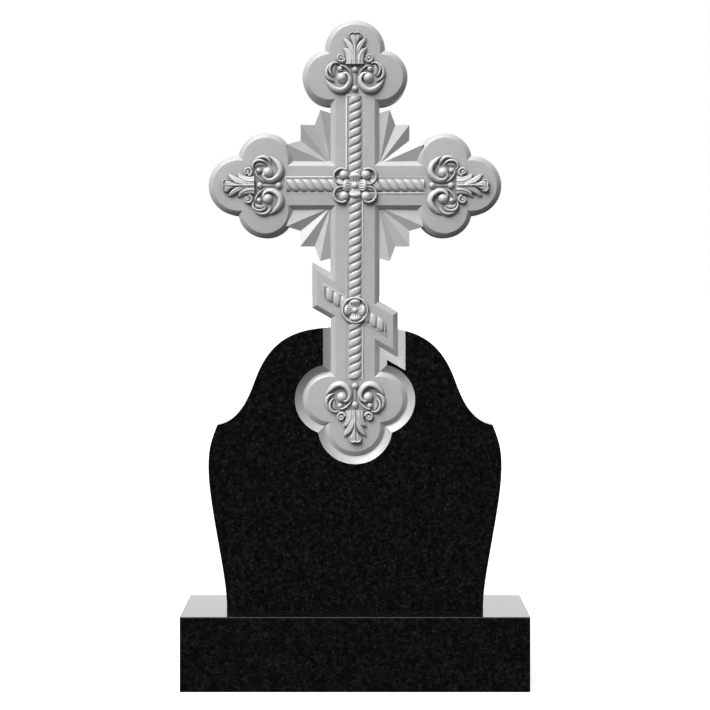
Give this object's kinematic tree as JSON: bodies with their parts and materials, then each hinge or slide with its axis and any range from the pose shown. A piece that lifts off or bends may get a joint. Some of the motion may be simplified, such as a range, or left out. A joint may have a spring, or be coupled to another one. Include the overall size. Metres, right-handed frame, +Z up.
{
  "type": "cross headstone",
  "caption": "Upright stone grave marker: a trefoil-ended cross with a slanted footrest and rope mouldings, carved in relief on a shaped slab that stands on a plain plinth.",
  "frame": {"origin": "centre of the plinth's underside, on the ground", "axes": "+Z up along the cross's shaft, -Y out of the carved front, +X to the right as seen from the front"},
  "size_m": [0.7, 0.2, 1.3529],
  "materials": {
    "plinth": "polished black granite with fine speckles",
    "stele": "matt light grey carving on the same granite, whose plain front below the cross is polished black"
  },
  "bodies": {
    "root": {"plinth": "plinth", "stele": "stele"}
  },
  "joints": []
}
